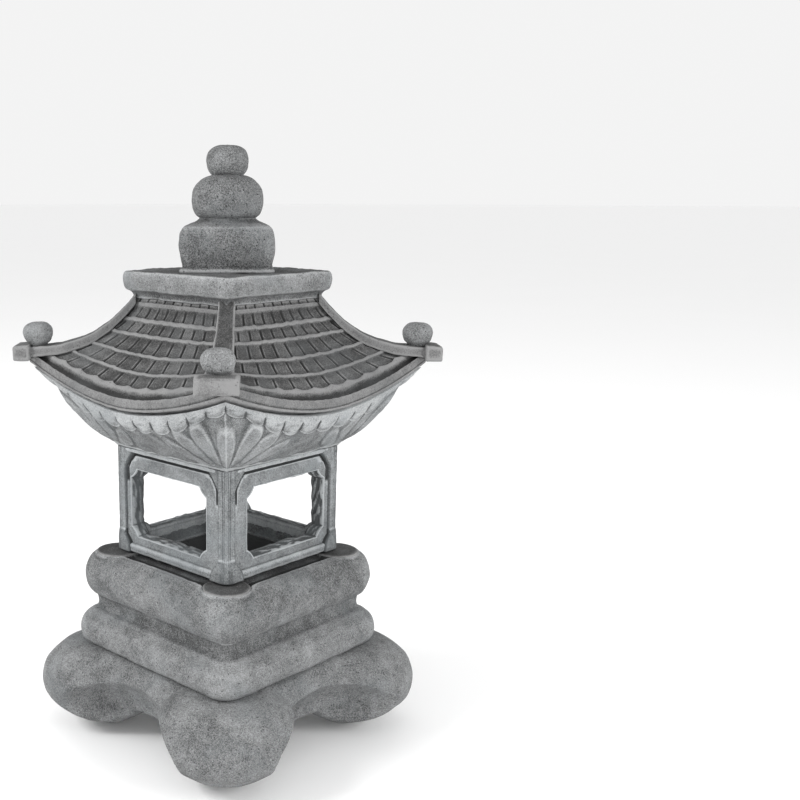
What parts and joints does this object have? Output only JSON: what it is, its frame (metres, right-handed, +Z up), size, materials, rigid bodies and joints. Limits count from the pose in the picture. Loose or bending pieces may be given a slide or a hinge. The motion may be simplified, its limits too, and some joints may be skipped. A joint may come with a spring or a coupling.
{
  "type": "stone lantern",
  "caption": "Square pagoda garden lantern of stacked stones: lobed foot, open fire box with notched windows, upswept tiled roof and stacked finial.",
  "frame": {"origin": "on the ground under the centre of the foot", "axes": "+Z up; the sides of the roof and of the fire box run along X and Y, the four lobes of the foot point along the diagonals"},
  "size_m": [0.2348, 0.2348, 0.4299],
  "materials": {
    "pitted_stone": "rough, pitted mid-grey stone, paler on worn edges",
    "smooth_stone": "rubbed, faintly blue-green grey stone with paler arrises",
    "carved_stone": "pale grey carved stone, darker in the hollows",
    "tile_stone": "dark grey-brown stone, worn pale along course lines",
    "dowel_bronze": "plain drawn bronze",
    "cup_aluminium": "thin pressed foil",
    "wax": "smooth translucent white candle wax",
    "wick": "braided cotton wick"
  },
  "bodies": {
    "pedestal": {"foot_stone": "pitted_stone", "step_stone": "pitted_stone", "cushion_stone": "pitted_stone", "base_dowels": "dowel_bronze", "candle_plate": "pitted_stone"},
    "candle": {"candle_cup": "cup_aluminium", "candle_wax": "wax", "candle_wick": "wick"},
    "fire_box": {"sill_ring": "smooth_stone", "lintel_ring": "smooth_stone", "corner_post_1": "smooth_stone", "corner_post_2": "smooth_stone", "corner_post_3": "smooth_stone", "corner_post_4": "smooth_stone", "window_panel_1": "smooth_stone", "window_panel_2": "smooth_stone", "window_panel_3": "smooth_stone", "window_panel_4": "smooth_stone"},
    "roof": {"soffit_stone": "carved_stone", "roof_stone": "tile_stone", "cap_slab": "pitted_stone", "hip_ridge_1": "tile_stone", "hip_ridge_2": "tile_stone", "hip_ridge_3": "tile_stone", "hip_ridge_4": "tile_stone", "ridge_knob_1": "tile_stone", "ridge_knob_2": "tile_stone", "ridge_knob_3": "tile_stone", "ridge_knob_4": "tile_stone"},
    "finial": {"finial_block": "pitted_stone", "finial_jewel": "pitted_stone", "finial_ball": "pitted_stone", "finial_rod": "dowel_bronze"}
  },
  "joints": [
    {"name": "candle_lift", "type": "slide", "parent": "pedestal", "child": "candle", "axis": [0, 0, 1], "range_m": [0, 0.09]},
    {"name": "fire_box_lift", "type": "slide", "parent": "pedestal", "child": "fire_box", "axis": [0, 0, 1], "range_m": [0, 0.03]},
    {"name": "roof_lift", "type": "slide", "parent": "fire_box", "child": "roof", "axis": [0, 0, 1], "range_m": [0, 0.06]},
    {"name": "finial_lift", "type": "slide", "parent": "roof", "child": "finial", "axis": [0, 0, 1], "range_m": [0, 0.03]}
  ]
}
